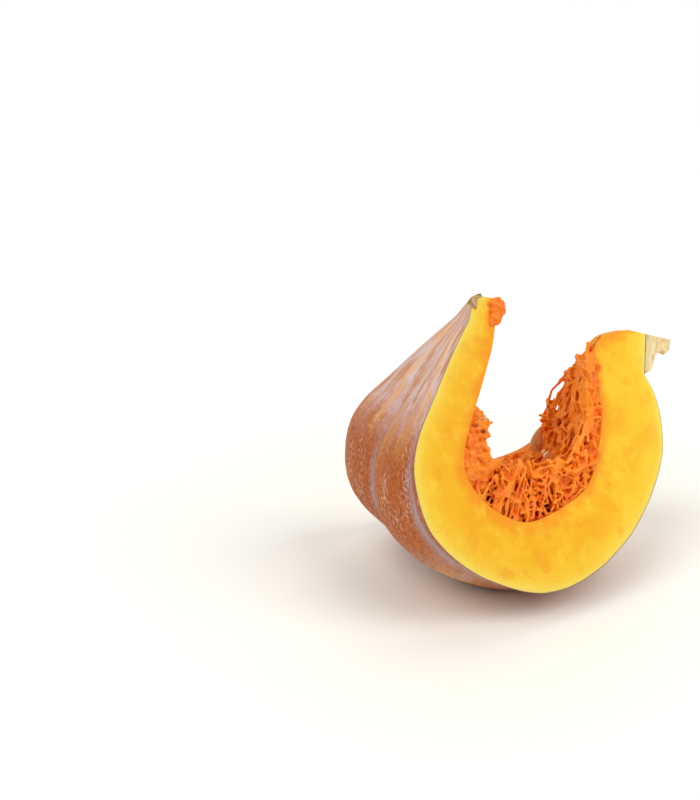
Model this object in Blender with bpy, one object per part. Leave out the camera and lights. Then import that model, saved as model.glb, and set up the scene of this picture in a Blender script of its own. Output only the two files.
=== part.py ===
"""A wedge cut from a ribbed, flattened pumpkin, lying on its rind.

Two knife cuts run from the blossom end to the stem and meet in the cut line, just above the
pumpkin's own axis. Shapes are drawn in pumpkin coordinates round that line: a runs along it from
the blossom end to the stem, rho is the distance from it, and theta turns about it, from straight
down (0) towards the back (+Y). place() turns those into the row frame, in metres, +Z up.
"""

import math

import bmesh
import bpy
from mathutils import Matrix, Vector, noise

# --- Driving dimensions, in metres and degrees -------------------------------------------------
AXIS_TILT = 18.3  # the stem end of the cut line lies lower than the blossom end
FRONT_CUT = -28.5
REAR_CUT = 24.5
RIB_PITCH = 24.0
GROOVE_AT = 1.0  # one groove is nearly straight down, so the wedge stands on two ribs
RIB_DEPTH = 0.009
RIB_FULLNESS = 0.8  # below 1 the crests are broad and the grooves narrow
RIB_FADE = 0.6  # below 1 the ribs keep their depth until close to the scar and the stem
REAR_RIB_SWELL = 0.0012  # the rib next to the rear cut stands this much prouder
GAP = 0.0003  # between pieces that touch
FOOT_DEPTH = 0.0018  # how much of the two lowest ribs is pressed flat

# The rind's outline from the blossom scar's seat to the stem's seat, as (a, rho).
RIND_OUTLINE = [
    (0.004, 0.019), (-0.007, 0.042), (-0.021, 0.078), (-0.032, 0.110), (-0.0315, 0.138),
    (-0.016, 0.170), (0.016, 0.191), (0.050, 0.1995), (0.080, 0.200), (0.112, 0.187),
    (0.145, 0.159), (0.166, 0.126), (0.177, 0.090), (0.175, 0.062), (0.167, 0.043),
    (0.157, 0.031),
]
# The blossom arm's rounded top, from the cut line to the start of the rind's outline.
BLOSSOM_TOP = [(0.014, 0.0), (0.0065, 0.006)]
# The cavity's outline, from the blossom arm's top down, across the floor and up the stem arm.
CAVITY_OUTLINE = [
    (0.026, 0.004), (0.025, 0.030), (0.021, 0.050), (0.014, 0.078), (0.008, 0.103),
    (0.008, 0.120), (0.016, 0.134), (0.036, 0.147), (0.062, 0.151), (0.090, 0.137),
    (0.111, 0.118), (0.118, 0.092), (0.120, 0.070), (0.116, 0.046), (0.110, 0.026),
    (0.116, 0.011), (0.131, 0.003),
]
# The cavity is hollowed further towards the rear cut: by how much there, and what share of it at
# shares of the way along the outline.
REAR_HOLLOW = 0.016
REAR_HOLLOW_SHARES = [(0.20, 0.0), (0.38, 1.0), (0.64, 1.0), (0.78, 0.6), (0.88, 0.6), (1.0, 0.0)]
WALL_STATIONS = 36  # along the cavity's wall, shared by the flesh and the web that lines it
WEDGE_SLICES = 25
OUTLINE_STEPS = 200  # fine steps along the cavity's outline, from which its stations are read

STEM_PROFILE = [
    (0.1573, 0.0290), (0.1605, 0.0300), (0.1635, 0.0270), (0.1655, 0.0190), (0.1680, 0.0135),
    (0.1720, 0.0105), (0.1765, 0.0108), (0.1790, 0.0090),
]
STEM_RIDGE_PITCH = 36.0
STEM_RIDGE_AT = -6.0
STEM_RIDGE_HEIGHT = 0.0022
STEM_RIDGED_RADIUS = 0.020  # nearer the middle than this, the ridges shrink
STEM_CROWN = 0.001
STEM_STATIONS, STEM_SLICES = 12, 15

# The scar's closed outline: its seat, which fits the corner of the blossom arm's top, and the
# knob that stands on it.
SCAR_OUTLINE = [
    (0.0046, 0.0140), (0.0060, 0.0056), (0.0100, 0.0024), (0.0075, 0.0012), (0.0030, 0.0030),
    (0.0003, 0.0065), (0.0000, 0.0110), (0.0018, 0.0145),
]
SCAR_TURNS = (-28.5, 14.0)
SCAR_SLICES = 9

# Thickness of the fibrous web by the front cut, at shares of the way along the cavity's outline.
PULP_THICKNESS = [
    (0.205, 0.003), (0.24, 0.014), (0.31, 0.027), (0.37, 0.030), (0.44, 0.033), (0.50, 0.035),
    (0.56, 0.032), (0.62, 0.023), (0.68, 0.015), (0.76, 0.012), (0.84, 0.010), (0.90, 0.005),
]
# What is left of that thickness at the rear cut.
PULP_REAR_SHARE = [(0.21, 0.60), (0.36, 0.25), (0.56, 0.16), (0.68, 0.45), (0.90, 0.40)]
PULP_INSET = 1.2  # degrees in from each cut
PULP_LUMP = 0.0022
LUMPS_PER_METRE = 55.0
LUMP_FALLOFF, LUMP_STEP, LUMP_OCTAVES = 0.8, 2.0, 3
FULL_LUMPS_FROM = 0.010  # where the web is thinner than this, its lumps shrink with it
WALL_GAP = 0.0005  # between the cavity's wall and what lines it
TUFT_SHARES = (0.030, 0.085)
TUFT_TURNS = (-24.0, -2.0)
TUFT_THICKNESS = 0.006
TUFT_EDGE = 0.0006
TUFT_STATIONS = 9

SEED_LENGTH, SEED_WIDTH, SEED_THICKNESS = 0.0185, 0.0100, 0.0032
# A seed's face from its edge inwards: share of its outline, share of its half thickness.
SEED_RINGS = [(1.0, 0.0), (0.86, 0.85), (0.40, 0.92)]
SEED_SIDES = 16
SEED_TAPER = 0.28  # narrower towards the pointed end, by this share
SEED_POINT = 0.10  # how far the point runs on, as a share of half the length
SEED_POINT_SHARPNESS = 6  # a higher power gives a narrower point
# Each seed: name, share along the cavity's outline, theta, how deep its middle lies under the
# web's face, and in degrees its spin on the wall, rise on its point and lean on its edge.
SEEDS = [
    ("seed_on_rear_edge", 0.69, 16.0, -0.004, 0, -20, 90),
    ("seed_in_rear_pocket", 0.69, 4.0, 0.002, 90, 0, 0),
    ("seed_high_on_stem_side", 0.77, 13.0, 0.000, 160, -15, 50),
    ("seed_under_film", 0.235, -27.3, 0.005, 10, 0, 90),
    ("seed_in_floor_pocket", 0.50, 2.0, 0.001, 100, -30, 60),
    ("seed_on_blossom_side", 0.42, -8.0, 0.001, 40, -25, 65),
]

FLESH_COLOR = (0.80, 0.42, 0.06)
STEM_COLOR = (0.66, 0.54, 0.33)
SCAR_COLOR = (0.42, 0.32, 0.20)
SEED_COLOR = (0.75, 0.60, 0.38)
PULP_COLOR = (0.85, 0.22, 0.03)
TUFT_COLOR = (0.90, 0.30, 0.03)
CUTTER_COLOR = (1.0, 0.0, 0.0)
FLESH_ROUGHNESS = 0.45
STEM_ROUGHNESS = 0.8
SCAR_ROUGHNESS = 0.85
SEED_ROUGHNESS = 0.5
PULP_ROUGHNESS = 0.35

CURVE_STEPS = 20  # between two points of an outline, before it is spaced evenly
SAME_POINT = 1e-6
SHARP_ANGLE = 40.0
PROBE = 0.01  # a short step off the wall, to find the way off it


# --- Pumpkin coordinates ------------------------------------------------------------------------
TILT = math.radians(AXIS_TILT)
ALONG = Vector((math.cos(TILT), 0.0, -math.sin(TILT)))
DOWN = Vector((-math.sin(TILT), 0.0, -math.cos(TILT)))
BACK = Vector((0.0, 1.0, 0.0))


def place(a, rho, theta):
    """The point at distance a along the cut line, rho from it, at theta degrees about it."""
    turn = math.radians(theta)
    return ALONG * a + (DOWN * math.cos(turn) + BACK * math.sin(turn)) * rho


def spread(first, last, count):
    return [first + (last - first) * i / (count - 1) for i in range(count)]


def smooth_through(points, count):
    """Points at equal spacing on the Catmull-Rom curve through the given ones."""
    ends = [2 * Vector(points[0]) - Vector(points[1]), 2 * Vector(points[-1]) - Vector(points[-2])]
    knots = [ends[0], *map(Vector, points), ends[1]]
    fine = []
    for p0, p1, p2, p3 in zip(knots, knots[1:], knots[2:], knots[3:]):
        for step in range(CURVE_STEPS):
            t = step / CURVE_STEPS
            fine.append(
                0.5 * (2 * p1 + (p2 - p0) * t + (2 * p0 - 5 * p1 + 4 * p2 - p3) * t**2
                       + (3 * p1 - p0 - 3 * p2 + p3) * t**3)
            )
    fine.append(knots[-2])
    lengths = [0.0]
    for p, q in zip(fine, fine[1:]):
        lengths.append(lengths[-1] + (q - p).length)
    found, i = [], 0
    for target in spread(0.0, lengths[-1], count):
        while i < len(fine) - 2 and lengths[i + 1] < target:
            i += 1
        share = (target - lengths[i]) / (lengths[i + 1] - lengths[i])
        found.append(fine[i].lerp(fine[i + 1], share))
    return found


def outward_normals(outline):
    """Unit normals of an outline that runs from the blossom end to the stem, away from the
    cavity's middle."""
    found = []
    for i in range(len(outline)):
        step = outline[min(i + 1, len(outline) - 1)] - outline[max(i - 1, 0)]
        found.append(Vector((-step.y, step.x)).normalized())
    return found


def value_at(table, share):
    """A table of (share, value) read with smooth steps between its rows."""
    if share <= table[0][0]:
        return table[0][1]
    for (s0, v0), (s1, v1) in zip(table, table[1:]):
        if share <= s1:
            t = (share - s0) / (s1 - s0)
            return v0 + (v1 - v0) * t * t * (3 - 2 * t)
    return table[-1][1]


# --- Meshes -------------------------------------------------------------------------------------
def new_object(name, bm, color, roughness):
    bmesh.ops.recalc_face_normals(bm, faces=bm.faces)
    mesh = bpy.data.meshes.new(name)
    bm.to_mesh(mesh)
    bm.free()
    mesh.shade_smooth()
    mesh.set_sharp_from_angle(angle=math.radians(SHARP_ANGLE))
    material = bpy.data.materials.new(name)
    material.use_nodes = True
    shader = material.node_tree.nodes["Principled BSDF"]
    shader.inputs["Base Color"].default_value = (*color, 1.0)
    shader.inputs["Roughness"].default_value = roughness
    mesh.materials.append(material)
    obj = bpy.data.objects.new(name, mesh)
    bpy.context.scene.collection.objects.link(obj)
    return obj


def sweep_rings(rings, strip_caps):
    """A closed mesh from rings of points, one for each slice of theta. Points where slices meet
    on the cut line are merged. With strip_caps each ring runs out along one outline and back
    along another of as many points, and its cap is a strip of quads between the two."""
    bm = bmesh.new()
    made = [[bm.verts.new(p) for p in ring] for ring in rings]
    size = len(rings[0])
    for near, far in zip(made, made[1:]):
        for i in range(size):
            j = (i + 1) % size
            bm.faces.new((near[i], near[j], far[j], far[i]))
    for ring in (made[0], made[-1]):
        if strip_caps:
            for i in range(size // 2 - 1):
                bm.faces.new((ring[i], ring[i + 1], ring[size - 2 - i], ring[size - 1 - i]))
        else:
            bm.faces.new(ring)
    bmesh.ops.remove_doubles(bm, verts=bm.verts, dist=SAME_POINT)
    bmesh.ops.dissolve_degenerate(bm, edges=bm.edges, dist=SAME_POINT)
    return bm


def to_rear(theta):
    """0 at the front cut, 1 at the rear one, with an easy start and end."""
    t = min(1.0, max(0.0, (theta - FRONT_CUT) / (REAR_CUT - FRONT_CUT)))
    return t * t * (3 - 2 * t)


def cavity_wall(shares, theta, height=0.0):
    """Points at shares of the way along the cavity's outline at theta, raised off the wall by
    one height, or by a list with a height for each."""
    wall = smooth_through(CAVITY_OUTLINE, OUTLINE_STEPS + 1)
    outward = outward_normals(wall)
    heights = height if isinstance(height, list) else [height] * len(shares)
    found = []
    for share, rise in zip(shares, heights):
        i = round(share * OUTLINE_STEPS)
        hollow = REAR_HOLLOW * to_rear(theta) * value_at(REAR_HOLLOW_SHARES, share)
        found.append(place(*(wall[i] + outward[i] * (hollow - rise)), theta))
    return found


def rib_dip(theta):
    """How far the rind lies below its ribs' crests: 0 on a crest, 1 in a groove."""
    return 1.0 - abs(math.sin(math.pi * (theta - GROOVE_AT) / RIB_PITCH)) ** RIB_FULLNESS


def rind_point(point, normal, share, theta):
    """A point of the ribbed rind. Ribs fade out towards the scar and the stem."""
    fade = max(0.0, math.sin(math.pi * share)) ** RIB_FADE
    swell = REAR_RIB_SWELL if theta > GROOVE_AT else 0.0
    depth = fade * (RIB_DEPTH * rib_dip(theta) - swell * (1.0 - rib_dip(theta)))
    a, rho = point - normal * depth
    return place(a, rho, theta)


def press_feet_flat(bm):
    """Cuts the lowest ribs off level, and closes each cut with a flat face."""
    level = min(v.co.z for v in bm.verts) + FOOT_DEPTH
    cut = bmesh.ops.bisect_plane(
        bm,
        geom=[*bm.verts, *bm.edges, *bm.faces],
        plane_co=(0.0, 0.0, level),
        plane_no=(0.0, 0.0, -1.0),
        clear_outer=True,
    )["geom_cut"]
    bmesh.ops.holes_fill(bm, edges=[e for e in cut if isinstance(e, bmesh.types.BMEdge)])


def build_flesh_and_rind():
    """The fruit itself: flesh with its rind, one solid between the rind and the cavity."""
    rind = smooth_through(RIND_OUTLINE, WALL_STATIONS - 1)
    outward = outward_normals(rind)
    shares = spread(0.0, 1.0, WALL_STATIONS)
    rings = []
    for theta in spread(FRONT_CUT, REAR_CUT, WEDGE_SLICES):
        outside = [place(a, rho, theta) for a, rho in BLOSSOM_TOP]
        for i, (point, normal) in enumerate(zip(rind, outward)):
            outside.append(rind_point(point, normal, i / (len(rind) - 1), theta))
        outside.append(place(rind[-1].x, 0, theta))
        inside = cavity_wall(shares, theta)
        inside = [place(CAVITY_OUTLINE[0][0], 0, theta), *inside]
        inside.append(place(CAVITY_OUTLINE[-1][0], 0, theta))
        rings.append(outside + inside[::-1])
    bm = sweep_rings(rings, strip_caps=True)
    press_feet_flat(bm)
    return new_object("flesh_and_rind", bm, FLESH_COLOR, FLESH_ROUGHNESS)


def build_stem():
    """The wedge's share of the woody stalk: a flared, ridged foot and a short broken column."""
    profile = smooth_through(STEM_PROFILE, STEM_STATIONS)
    rings = []
    for theta in spread(FRONT_CUT, REAR_CUT, STEM_SLICES):
        wave = math.cos(2 * math.pi * (theta - STEM_RIDGE_AT) / STEM_RIDGE_PITCH)
        ring = [place(STEM_PROFILE[0][0], 0, theta)]
        for p in profile:
            ridge = STEM_RIDGE_HEIGHT * wave * min(1.0, p.y / STEM_RIDGED_RADIUS)
            ring.append(place(p.x, p.y + ridge, theta))
        ring.append(place(STEM_PROFILE[-1][0] + STEM_CROWN, 0, theta))
        rings.append(ring)
    bm = sweep_rings(rings, strip_caps=False)
    return new_object("stem", bm, STEM_COLOR, STEM_ROUGHNESS)


def build_blossom_scar():
    """The corky button left by the flower, proud of the rind."""
    rings = []
    for theta in spread(*SCAR_TURNS, SCAR_SLICES):
        rings.append([place(a, rho, theta) for a, rho in SCAR_OUTLINE])
    bm = sweep_rings(rings, strip_caps=False)
    return new_object("blossom_scar", bm, SCAR_COLOR, SCAR_ROUGHNESS)


def seed_matrix(share, theta, sink, spin, rise, lean):
    """Lays a seed on the web's face with its length along the outline, then turns it."""
    height = WALL_GAP + web_base(share, theta) - sink
    spot = cavity_wall([share], theta, height)[0]
    into_cavity = (spot - cavity_wall([share], theta, height - PROBE)[0]).normalized()
    across = BACK.cross(into_cavity).normalized()
    frame = Matrix((across, into_cavity.cross(across), into_cavity)).transposed()
    for axis, angle in (("Z", spin), ("Y", rise), ("X", lean)):
        frame = frame @ Matrix.Rotation(math.radians(angle), 3, axis)
    return Matrix.Translation(spot) @ frame.to_4x4()


def seed_mesh(extra=0.0):
    """A flat, pointed seed about its middle, its length along X, with a raised rim."""
    bm = bmesh.new()
    rings = []
    half = [SEED_LENGTH / 2 + extra, SEED_WIDTH / 2 + extra, SEED_THICKNESS / 2 + extra]
    for share, height in SEED_RINGS:
        ring = []
        for k in range(SEED_SIDES):
            t = 2 * math.pi * k / SEED_SIDES
            x = math.cos(t) + SEED_POINT * max(0.0, math.cos(t)) ** SEED_POINT_SHARPNESS
            y = math.sin(t) * (1.0 - SEED_TAPER * math.cos(t))
            ring.append((x * share * half[0], y * share * half[1], height * half[2]))
        rings.append(ring)
    layers = [[(x, y, -z) for x, y, z in ring] for ring in rings[:0:-1]] + rings
    made = [[bm.verts.new(p) for p in ring] for ring in layers]
    for low, high in zip(made, made[1:]):
        for k in range(SEED_SIDES):
            n = (k + 1) % SEED_SIDES
            bm.faces.new((low[k], low[n], high[n], high[k]))
    for ring, side in ((made[0], -1), (made[-1], 1)):
        tip = bm.verts.new((0.0, 0.0, side * half[2]))
        for k in range(SEED_SIDES):
            bm.faces.new((ring[k], ring[(k + 1) % SEED_SIDES], tip))
    return bm


def build_seeds():
    found = []
    for name, *seat in SEEDS:
        bm = seed_mesh()
        bm.transform(seed_matrix(*seat))
        found.append(new_object(name, bm, SEED_COLOR, SEED_ROUGHNESS))
    return found


def lump(point):
    """Smooth, repeatable lumps over a surface."""
    return noise.fractal(point * LUMPS_PER_METRE, LUMP_FALLOFF, LUMP_STEP, LUMP_OCTAVES)


def lining(shares, turns, thickness):
    """A closed layer on the cavity's wall, as thick at each (share, theta) as thickness says."""
    rings = []
    for theta in turns:
        heights = [WALL_GAP + thickness(share, theta) for share in shares]
        back = cavity_wall(shares, theta, WALL_GAP)
        rings.append(back + cavity_wall(shares, theta, heights)[::-1])
    return sweep_rings(rings, strip_caps=True)


def web_base(share, theta):
    """The web's thickness without its lumps: it thins towards the rear cut."""
    left = 1.0 - to_rear(theta) * (1.0 - value_at(PULP_REAR_SHARE, share))
    return value_at(PULP_THICKNESS, share) * left


def web_thickness(share, theta):
    thickness = web_base(share, theta)
    face = cavity_wall([share], theta, thickness)[0]
    return thickness + PULP_LUMP * lump(face) * min(1.0, thickness / FULL_LUMPS_FROM)


def tuft_thickness(share, theta):
    along = (share - TUFT_SHARES[0]) / (TUFT_SHARES[1] - TUFT_SHARES[0])
    across = (theta - TUFT_TURNS[0]) / (TUFT_TURNS[1] - TUFT_TURNS[0])
    return TUFT_EDGE + TUFT_THICKNESS * math.sin(math.pi * along) * math.sin(math.pi * across)


def build_pulp_web():
    """The fibrous web that lines the cavity, with a pocket round each seed."""
    first, last = PULP_THICKNESS[0][0], PULP_THICKNESS[-1][0]
    shares = [share for share in spread(0.0, 1.0, WALL_STATIONS) if first <= share <= last]
    slices = spread(FRONT_CUT, REAR_CUT, WEDGE_SLICES)  # the flesh's own, of which it takes half
    turns = [FRONT_CUT + PULP_INSET, *slices[2:-2:2], REAR_CUT - PULP_INSET]
    layer = lining(shares, turns, web_thickness)
    web = new_object("pulp_web", layer, PULP_COLOR, PULP_ROUGHNESS)
    for name, *seat in SEEDS:
        pocket_mesh = seed_mesh(extra=GAP)
        pocket_mesh.transform(seed_matrix(*seat))
        pocket = new_object("pocket_for_" + name, pocket_mesh, CUTTER_COLOR, SEED_ROUGHNESS)
        pocket.hide_render = True
        pocket.display_type = "WIRE"
        cut = web.modifiers.new(name, "BOOLEAN")
        cut.operation = "DIFFERENCE"
        cut.object = pocket
    return web


def build_pulp_tuft():
    """A torn clump of pulp left near the top of the blossom arm."""
    shares = spread(*TUFT_SHARES, TUFT_STATIONS)
    turns = spread(*TUFT_TURNS, TUFT_STATIONS)
    clump = lining(shares, turns, tuft_thickness)
    return new_object("pulp_tuft", clump, TUFT_COLOR, PULP_ROUGHNESS)


def stand_on_origin(objects):
    """Moves everything so that the bottom centre of its box is the origin."""
    corners = [v.co for obj in objects for v in obj.data.vertices]
    low = Vector([min(c[k] for c in corners) for k in range(3)])
    high = Vector([max(c[k] for c in corners) for k in range(3)])
    shift = Matrix.Translation(-Vector(((low.x + high.x) / 2, (low.y + high.y) / 2, low.z)))
    for obj in bpy.context.scene.collection.objects:
        obj.data.transform(shift)


def main():
    for obj in list(bpy.data.objects):
        bpy.data.objects.remove(obj)
    pieces = [build_flesh_and_rind(), build_stem(), build_blossom_scar(), build_pulp_tuft()]
    pieces += build_seeds()
    pieces.append(build_pulp_web())
    stand_on_origin(pieces)


main()
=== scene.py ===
"""The looks of a wedge cut from a ribbed pumpkin: rind, cut flesh, stringy pulp, seeds, stalk.

Shapes are drawn in pumpkin coordinates round the line where the two cuts meet: a runs along it
from the blossom end to the stalk, rho is the distance from it, and theta (degrees) turns about it,
from straight down (0) towards the back. place() turns them into the frame's metres.
"""
import math

import bmesh
import bpy
import numpy as np
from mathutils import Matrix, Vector, noise


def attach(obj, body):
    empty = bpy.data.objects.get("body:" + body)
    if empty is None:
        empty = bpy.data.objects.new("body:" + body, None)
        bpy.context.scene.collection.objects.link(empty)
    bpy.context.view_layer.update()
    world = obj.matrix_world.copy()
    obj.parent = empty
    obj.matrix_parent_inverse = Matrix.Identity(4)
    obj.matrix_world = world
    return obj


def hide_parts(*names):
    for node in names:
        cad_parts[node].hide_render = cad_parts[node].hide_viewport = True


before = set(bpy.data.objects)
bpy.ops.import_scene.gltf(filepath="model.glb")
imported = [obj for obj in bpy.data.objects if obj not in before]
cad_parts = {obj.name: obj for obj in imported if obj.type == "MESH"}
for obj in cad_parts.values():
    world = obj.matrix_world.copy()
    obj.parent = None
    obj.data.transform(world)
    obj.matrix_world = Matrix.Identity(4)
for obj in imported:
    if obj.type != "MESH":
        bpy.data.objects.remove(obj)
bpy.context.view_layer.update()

# How finely curves are drawn, and how the noise's octaves shrink and crowd.
CURVE_STEPS, WALL_STATIONS = 24, 241
GRAIN_FALL, GRAIN_STEP = 0.9, 2.0

# --- The wedge's driving dimensions, as in the CAD
AXIS_TILT = 18.3
FRONT_CUT, REAR_CUT = -28.5, 24.5
RIB_PITCH, GROOVE_AT = 24.0, 1.0
RIB_DEPTH, RIB_FULLNESS, RIB_FADE = 0.009, 0.8, 0.6
REAR_RIB_SWELL = 0.0012
RIND_OUTLINE = [
    (0.004, 0.019), (-0.007, 0.042), (-0.021, 0.078), (-0.032, 0.110), (-0.0315, 0.138),
    (-0.016, 0.170), (0.016, 0.191), (0.050, 0.1995), (0.080, 0.200), (0.112, 0.187),
    (0.145, 0.159), (0.166, 0.126), (0.177, 0.090), (0.175, 0.062), (0.167, 0.043),
    (0.157, 0.031),
]
BLOSSOM_TOP = [(0.014, 0.0), (0.0065, 0.006)]
CAVITY_OUTLINE = [
    (0.026, 0.004), (0.025, 0.030), (0.021, 0.050), (0.014, 0.078), (0.008, 0.103),
    (0.008, 0.120), (0.016, 0.134), (0.036, 0.147), (0.062, 0.151), (0.090, 0.137),
    (0.111, 0.118), (0.118, 0.092), (0.120, 0.070), (0.116, 0.046), (0.110, 0.026),
    (0.116, 0.011), (0.131, 0.003),
]
REAR_HOLLOW = 0.016
REAR_HOLLOW_SHARES = [(0.20, 0.0), (0.38, 1.0), (0.64, 1.0), (0.78, 0.6), (0.88, 0.6), (1.0, 0.0)]
PULP_THICKNESS = [
    (0.205, 0.003), (0.24, 0.014), (0.31, 0.027), (0.37, 0.030), (0.44, 0.033), (0.50, 0.035),
    (0.56, 0.032), (0.62, 0.023), (0.68, 0.015), (0.76, 0.012), (0.84, 0.010), (0.90, 0.005),
]
PULP_REAR_SHARE = [(0.21, 0.60), (0.36, 0.25), (0.56, 0.16), (0.68, 0.45), (0.90, 0.40)]
STEM_PROFILE = [
    (0.1573, 0.0290), (0.1605, 0.0300), (0.1635, 0.0270), (0.1655, 0.0190), (0.1680, 0.0135),
    (0.1720, 0.0105), (0.1765, 0.0108), (0.1790, 0.0090),
]
SCAR_OUTLINE = [
    (0.0046, 0.0140), (0.0060, 0.0056), (0.0100, 0.0024), (0.0075, 0.0012), (0.0030, 0.0030),
    (0.0003, 0.0065), (0.0000, 0.0110), (0.0018, 0.0145),
]
SCAR_TURNS = (-28.5, 14.0)

TILT = math.radians(AXIS_TILT)
ALONG = np.array((math.cos(TILT), 0.0, -math.sin(TILT)))
DOWN = np.array((-math.sin(TILT), 0.0, -math.cos(TILT)))
BACK = np.array((0.0, 1.0, 0.0))


def node_points(name):
    return np.array([v.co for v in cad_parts[name].data.vertices])


# The wedge's highest point is where the blossom arm's top meets the cut line.
wedge_points = node_points("flesh_and_rind")
ORIGIN = wedge_points[wedge_points[:, 2].argmax()] - ALONG * BLOSSOM_TOP[0][0]


# --- Pumpkin coordinates
def place(a, rho, theta):
    """Points at distance a along the cut line, rho from it and theta degrees about it."""
    a, rho, turn = np.broadcast_arrays(a, rho, np.radians(theta))
    radial = np.cos(turn)[..., None] * DOWN + np.sin(turn)[..., None] * BACK
    return ORIGIN + a[..., None] * ALONG + rho[..., None] * radial


def unplace(points):
    """The (a, rho, theta) of points."""
    away = points - ORIGIN
    down, back = away @ DOWN, away @ BACK
    return away @ ALONG, np.hypot(down, back), np.degrees(np.arctan2(back, down))


def smooth_through(points, count):
    """Points at equal spacing on the Catmull-Rom curve through the given ones."""
    p = np.array(points, float)
    p = np.vstack((2 * p[0] - p[1], p, 2 * p[-1] - p[-2]))
    t = np.linspace(0.0, 1.0, CURVE_STEPS, endpoint=False)[:, None]
    fine = [
        0.5 * (2 * p1 + (p2 - p0) * t + (2 * p0 - 5 * p1 + 4 * p2 - p3) * t**2
               + (3 * p1 - p0 - 3 * p2 + p3) * t**3)
        for p0, p1, p2, p3 in zip(p, p[1:], p[2:], p[3:])
    ]
    fine = np.vstack((*fine, p[-2]))
    lengths = np.concatenate(([0.0], np.cumsum(np.linalg.norm(np.diff(fine, axis=0), axis=1))))
    wanted = np.linspace(0.0, lengths[-1], count)
    return np.stack([np.interp(wanted, lengths, fine[:, k]) for k in range(fine.shape[1])], 1)


def side_normals(outline):
    """Unit normals of an outline, on the side away from the cavity's middle."""
    step = np.gradient(outline, axis=0)
    normals = np.stack((-step[:, 1], step[:, 0]), 1)
    return normals / np.linalg.norm(normals, axis=1, keepdims=True)


def value_at(table, share):
    """A table of (share, value) read with smooth steps between its rows."""
    shares, values = np.array(table).T
    share = np.clip(share, shares[0], shares[-1])
    i = np.clip(np.searchsorted(shares, share, side="right") - 1, 0, len(shares) - 2)
    t = (share - shares[i]) / (shares[i + 1] - shares[i])
    return values[i] + (values[i + 1] - values[i]) * t * t * (3 - 2 * t)


def ease(x, low, high):
    """0 below low, 1 above high, smooth between them."""
    t = np.clip((x - low) / (high - low), 0.0, 1.0)
    return t * t * (3 - 2 * t)


def to_rear(theta):
    return ease(np.asarray(theta, float), FRONT_CUT, REAR_CUT)


WALL = smooth_through(CAVITY_OUTLINE, WALL_STATIONS)
WALL_NORMALS = side_normals(WALL)
WALL_SHARES = np.linspace(0.0, 1.0, len(WALL))
WALL_LENGTH = np.linalg.norm(np.diff(WALL, axis=0), axis=1).sum()


def wall_hollow(share, theta):
    return REAR_HOLLOW * to_rear(theta) * value_at(REAR_HOLLOW_SHARES, share)


def cavity_point(share, theta, height=0.0):
    """Points on the cavity's wall, raised off it by height."""
    rise = wall_hollow(share, theta) - height
    a, rho = (
        np.interp(share, WALL_SHARES, WALL[:, k])
        + np.interp(share, WALL_SHARES, WALL_NORMALS[:, k]) * rise
        for k in (0, 1)
    )
    return place(a, rho, theta)


def web_base(share, theta):
    """How thick the pulp is: it thins towards the rear cut."""
    left = 1.0 - to_rear(theta) * (1.0 - value_at(PULP_REAR_SHARE, share))
    return value_at(PULP_THICKNESS, share) * left


def grain(points, scale, octaves=3, seed=0.0):
    """Smooth noise between about -1 and 1 at points."""
    offset = Vector((seed, seed * 0.7, -seed))
    spots = [Vector(p) * scale + offset for p in points]
    return np.array([noise.fractal(spot, GRAIN_FALL, GRAIN_STEP, octaves) for spot in spots])


def run_at(along, theta, radius):
    """A surface's own coordinates at one slice: how far along its grain, and how far round."""
    return np.stack((along, np.full(len(along), math.radians(theta) * radius), 0 * along), 1)


# --- Meshes
SAME_POINT, NO_LENGTH = 1e-6, 1e-7


def add_object(name, data):
    thing = bpy.data.objects.new(name, data)
    bpy.context.scene.collection.objects.link(thing)
    return thing


def add_piece(name, mesh):
    piece = add_object(name, mesh)
    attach(piece, "root")
    return piece


def new_piece(name, points, faces):
    mesh = bpy.data.meshes.new(name)
    mesh.from_pydata([tuple(p) for p in points], [], [tuple(f) for f in faces])
    return add_piece(name, mesh)


def set_attribute(piece, name, values):
    data = piece.data.attributes.new(name, "FLOAT", "POINT").data
    data.foreach_set("value", np.asarray(values, np.float32))


def set_vectors(piece, name, values):
    data = piece.data.attributes.new(name, "FLOAT_VECTOR", "POINT").data
    data.foreach_set("vector", np.asarray(values, np.float32).ravel())


def positions(piece):
    found = np.empty(len(piece.data.vertices) * 3)
    piece.data.vertices.foreach_get("co", found)
    return found.reshape(-1, 3)


def ring_quads(rings, size, base=0):
    """Quads between neighbouring rings of this many points each."""
    faces = []
    for i in range(rings - 1):
        near, far = base + i * size, base + (i + 1) * size
        for j in range(size):
            k = (j + 1) % size
            faces.append((near + j, near + k, far + k, far + j))
    return faces


def closed_rings(rings, size, base=0):
    """Quads between rings, and a cap over the first and the last."""
    first = [base + j for j in range(size)]
    last = [base + (rings - 1) * size + j for j in range(size)]
    return [*ring_quads(rings, size, base), first[::-1], last]


def close_up(piece):
    """Merges points that coincide and makes the faces point out."""
    bm = bmesh.new()
    bm.from_mesh(piece.data)
    bmesh.ops.remove_doubles(bm, verts=bm.verts, dist=SAME_POINT)
    bmesh.ops.dissolve_degenerate(bm, edges=bm.edges, dist=NO_LENGTH)
    bmesh.ops.recalc_face_normals(bm, faces=bm.faces)
    bm.to_mesh(piece.data)
    bm.free()
    piece.data.shade_smooth()


# --- Material nodes
def set_inputs(node, **values):
    for name, value in values.items():
        node.inputs[name.replace("_", " ")].default_value = value


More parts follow.
